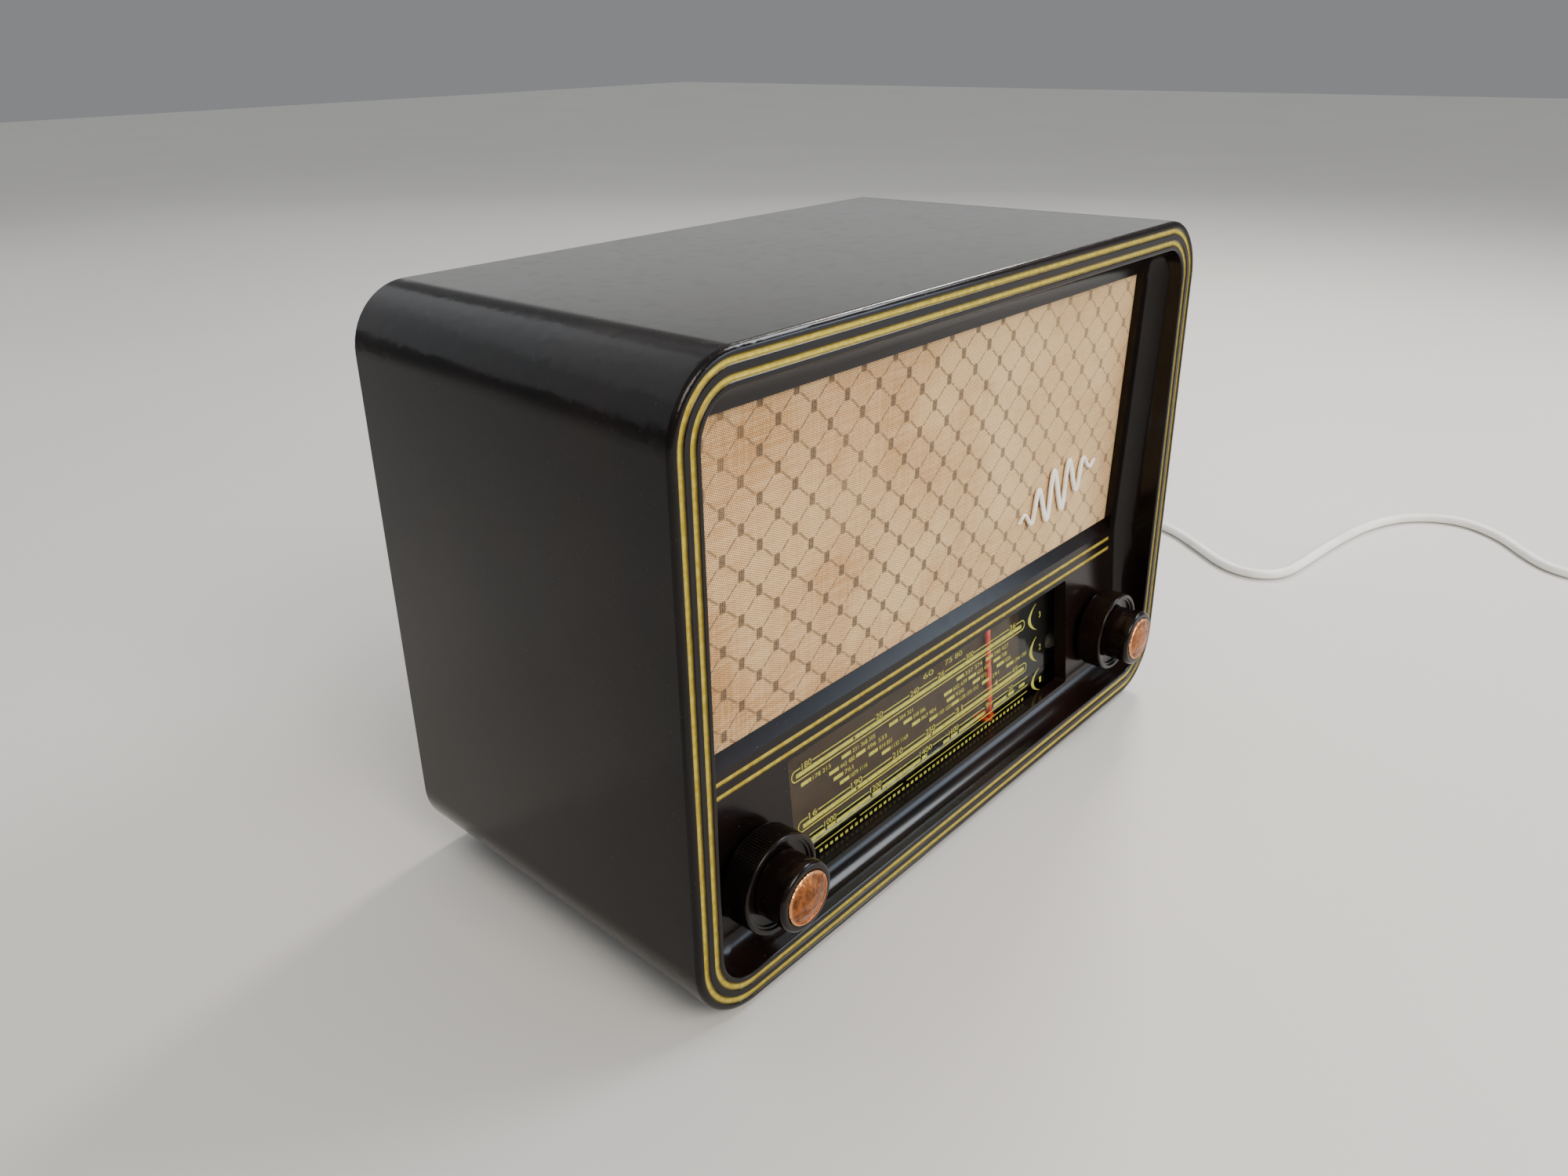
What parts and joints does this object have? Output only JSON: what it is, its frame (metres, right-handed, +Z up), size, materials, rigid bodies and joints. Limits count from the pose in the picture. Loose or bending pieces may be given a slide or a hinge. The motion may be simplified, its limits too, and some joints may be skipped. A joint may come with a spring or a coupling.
{
  "type": "tabletop radio",
  "caption": "Valve table radio: moulded case with a coved front recess, cloth-covered loudspeaker, dial with a travelling pointer, and two pairs of concentric knobs; mains lead behind.",
  "frame": {"origin": "on the ground under the middle of the set, knobs included and mains lead left out", "axes": "+X to the right seen from the front, the front looks towards -Y, +Z up"},
  "size_m": [0.6975, 0.5799, 0.2455],
  "materials": {
    "bakelite": "polished near-black moulded Bakelite with a chocolate tint and gold paint in the grooves of its frame",
    "grille_cloth": "beige woven loudspeaker cloth with fine brown diamonds",
    "ivory": "cream moulded plastic",
    "copper": "spun copper, brushed",
    "dial_glass": "clear glass",
    "dial_plate": "dark olive brown paint",
    "pointer": "red paint",
    "steel": "plated steel",
    "chassis": "cadmium plated sheet steel",
    "aluminium": "bare aluminium",
    "brass": "bare brass",
    "rubber": "black rubber",
    "white_lead": "white cable sheath",
    "white_plug": "white moulded plug",
    "wood": "plain plywood",
    "fibreboard": "brown pressed fibreboard",
    "cone_paper": "black cone paper",
    "magnet": "black painted magnet",
    "phenolic": "brown laminate",
    "valve_glass": "clear glass",
    "ceramic": "unglazed ceramic",
    "dial_cord": "waxed cord",
    "lamp_glass": "warm clear glass"
  },
  "bodies": {
    "root": {"cabinet": "bakelite", "rubber_feet": "rubber", "grille_cloth": "grille_cloth", "baffle_board": "wood", "badge": "ivory", "dial_glass": "dial_glass", "dial_back_plate": "dial_plate", "lamp_holders": "steel", "dial_lamps": "lamp_glass", "pointer_rail": "steel", "tone_control": "phenolic", "volume_control": "aluminium", "band_switch": "phenolic", "control_nuts": "steel", "chassis": "chassis", "chassis_bolts": "steel", "valve_sockets": "phenolic", "valves": "valve_glass", "valve_cages": "steel", "if_cans": "aluminium", "electrolytic_can": "aluminium", "mains_dropper": "ceramic", "output_transformer": "steel", "coil_formers": "phenolic", "dial_cord": "dial_cord", "tuning_frame": "steel", "tuning_stator": "aluminium", "speaker_basket": "steel", "speaker_magnet": "magnet", "back_cover": "fibreboard", "wood_screws": "steel", "aerial_sockets": "phenolic", "strain_relief": "white_lead", "mains_cord": "white_lead", "mains_cord_coil": "white_lead", "plug_body": "white_plug", "plug_pins": "brass"},
    "tone": {"tone_ring": "bakelite", "tone_grub_screw": "steel", "tone_shaft": "brass"},
    "volume": {"volume_knob": "bakelite", "volume_cap": "copper", "volume_grub_screw": "steel", "volume_shaft": "brass"},
    "tuning": {"tuning_ring": "bakelite", "tuning_grub_screw": "steel", "tuning_shaft": "brass"},
    "band": {"band_knob": "bakelite", "band_cap": "copper", "band_grub_screw": "steel", "band_shaft": "brass", "band_rotors": "phenolic"},
    "gang": {"drive_drum": "aluminium", "drum_spring": "steel", "tuning_rotor": "aluminium"},
    "pointer": {"pointer_carriage": "aluminium", "dial_pointer": "pointer"},
    "left_pulley": {"left_idler": "brass"},
    "right_pulley": {"right_idler": "brass"},
    "cone": {"speaker_cone": "cone_paper"}
  },
  "joints": [
    {"name": "tuning_turn", "type": "hinge", "parent": "root", "child": "tuning", "pos_m": [0.131, -0.07925, 0.0455], "axis": [0, -1, 0], "range_deg": [-1684, 320.6]},
    {"name": "band_turn", "type": "hinge", "parent": "root", "child": "band", "pos_m": [0.131, -0.07925, 0.0455], "axis": [0, -1, 0], "range_deg": [-30, 30]},
    {"name": "volume_turn", "type": "hinge", "parent": "root", "child": "volume", "pos_m": [-0.131, -0.07925, 0.0455], "axis": [0, -1, 0], "range_deg": [-200, 90]},
    {"name": "tone_turn", "type": "hinge", "parent": "root", "child": "tone", "pos_m": [-0.131, -0.07925, 0.0455], "axis": [0, -1, 0], "range_deg": [-135, 135]},
    {"name": "gang_turn", "type": "hinge", "parent": "root", "child": "gang", "pos_m": [0.06, -0.04325, 0.088], "axis": [0, -1, 0], "range_deg": [-151.2, 28.8]},
    {"name": "pointer_slide", "type": "slide", "parent": "root", "child": "pointer", "axis": [1, 0, 0], "range_m": [-0.147, 0.028]},
    {"name": "left_pulley_turn", "type": "hinge", "parent": "root", "child": "left_pulley", "pos_m": [-0.114, -0.04325, 0.024], "axis": [0, -1, 0], "range_deg": [-1685, 322]},
    {"name": "right_pulley_turn", "type": "hinge", "parent": "root", "child": "right_pulley", "pos_m": [0.104, -0.04325, 0.024], "axis": [0, -1, 0], "range_deg": [-1685, 322]},
    {"name": "cone_slide", "type": "slide", "parent": "root", "child": "cone", "axis": [0, -0.9994, -0.0349], "range_m": [-0.001, 0.001], "stiffness_N_per_m": 800}
  ],
  "couplings": [
    {"joint": "gang_turn", "follows": "tuning_turn", "ratio": 0.08976},
    {"joint": "pointer_slide", "follows": "tuning_turn", "m_per_rad": 0.005},
    {"joint": "left_pulley_turn", "follows": "tuning_turn", "ratio": 1},
    {"joint": "right_pulley_turn", "follows": "tuning_turn", "ratio": 1}
  ]
}
